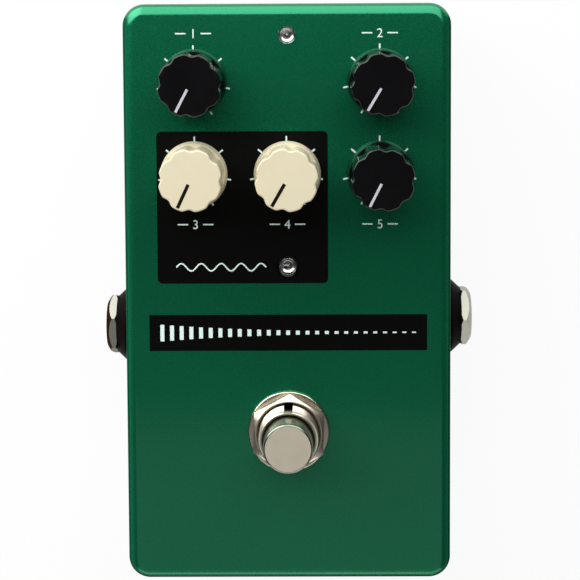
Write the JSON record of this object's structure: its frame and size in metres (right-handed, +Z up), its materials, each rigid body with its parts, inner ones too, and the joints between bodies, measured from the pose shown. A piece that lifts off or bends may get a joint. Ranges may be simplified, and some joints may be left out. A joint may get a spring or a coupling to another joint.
{
  "type": "tape echo pedal",
  "caption": "Green cast-metal tape echo foot pedal with fluted turning dials, a sprung foot switch, side plug sockets, indicator lamps and an end power inlet.",
  "frame": {"origin": "on the ground under the middle of the pedal, at the soles of its feet", "axes": "+Z up out of the panel, +Y towards the power inlet's end, +X towards the input socket"},
  "size_m": [0.0764, 0.1176, 0.0543],
  "materials": {
    "green_paint": "metallic green paint under a gloss coat, on cast aluminium",
    "black_steel": "blackened",
    "foot_rubber": "matt",
    "black_knob": "satin black moulding",
    "cream_knob": "cream moulding",
    "white_line": "white filling",
    "black_line": "black filling",
    "nickel": "satin nickel plate",
    "bright_chrome": "bright plate",
    "tin": "tinned",
    "spring_steel": "drawn wire",
    "shaft_metal": "turned",
    "pot_metal": "pressed can",
    "contact_brass": "rolled strip",
    "black_moulding": "moulded",
    "blue_moulding": "moulded",
    "board": "solder mask",
    "capacitor_sleeve": "shrink sleeve",
    "grey_cable": "flat cable",
    "clear_lens": "clear resin"
  },
  "bodies": {
    "chassis": {"enclosure_shell": "green_paint", "base_plate": "green_paint", "base_screws": "black_steel", "rubber_feet": "foot_rubber", "pot_nuts": "nickel", "pot_washers": "nickel", "pot_terminals": "tin", "footswitch_bushing": "nickel", "footswitch_nut": "nickel", "footswitch_washer": "nickel", "footswitch_lock_nut": "nickel", "footswitch_case": "blue_moulding", "footswitch_cover": "tin", "footswitch_lugs": "tin", "footswitch_spring": "spring_steel", "footswitch_board": "board", "status_led": "clear_lens", "rate_led": "clear_lens", "led_leads": "tin", "power_inlet_case": "black_moulding", "power_inlet_pin": "tin", "power_inlet_contact": "contact_brass", "main_board": "board", "chips": "black_moulding", "capacitors": "capacitor_sleeve", "resistors": "black_moulding", "ribbon_cable": "grey_cable", "time_pot": "pot_metal", "regen_pot": "pot_metal", "depth_pot": "pot_metal", "speed_pot": "pot_metal", "level_pot": "pot_metal", "input_jack_case": "black_moulding", "input_jack_sleeve": "bright_chrome", "input_jack_washer": "black_moulding", "input_jack_nut": "bright_chrome", "input_jack_contact": "contact_brass", "output_jack_case": "black_moulding", "output_jack_sleeve": "bright_chrome", "output_jack_washer": "black_moulding", "output_jack_nut": "bright_chrome", "output_jack_contact": "contact_brass"},
    "time_dial": {"time_knob": "black_knob", "time_pointer": "white_line", "time_shaft": "shaft_metal"},
    "regen_dial": {"regen_knob": "black_knob", "regen_pointer": "white_line", "regen_shaft": "shaft_metal"},
    "depth_dial": {"depth_knob": "cream_knob", "depth_pointer": "black_line", "depth_shaft": "shaft_metal"},
    "speed_dial": {"speed_knob": "cream_knob", "speed_pointer": "black_line", "speed_shaft": "shaft_metal"},
    "level_dial": {"level_knob": "black_knob", "level_pointer": "white_line", "level_shaft": "shaft_metal"},
    "switch_button": {"footswitch_plunger": "nickel"}
  },
  "joints": [
    {"name": "time_turn", "type": "hinge", "parent": "chassis", "child": "time_dial", "pos_m": [-0.01875, 0.0431, 0.0385], "axis": [0, 0, -1], "range_deg": [0, 300]},
    {"name": "regen_turn", "type": "hinge", "parent": "chassis", "child": "regen_dial", "pos_m": [0.01875, 0.0431, 0.0385], "axis": [0, 0, -1], "range_deg": [0, 300]},
    {"name": "depth_turn", "type": "hinge", "parent": "chassis", "child": "depth_dial", "pos_m": [-0.01875, 0.02465, 0.0385], "axis": [0, 0, -1], "range_deg": [0, 300]},
    {"name": "speed_turn", "type": "hinge", "parent": "chassis", "child": "speed_dial", "pos_m": [0, 0.02465, 0.0385], "axis": [0, 0, -1], "range_deg": [0, 300]},
    {"name": "level_turn", "type": "hinge", "parent": "chassis", "child": "level_dial", "pos_m": [0.01875, 0.02465, 0.0385], "axis": [0, 0, -1], "range_deg": [0, 300]},
    {"name": "switch_press", "type": "slide", "parent": "chassis", "child": "switch_button", "axis": [0, 0, -1], "range_m": [0, 0.0035], "stiffness_N_per_m": 2500, "springref_m": -0.004, "deforming": ["footswitch_spring"]}
  ]
}
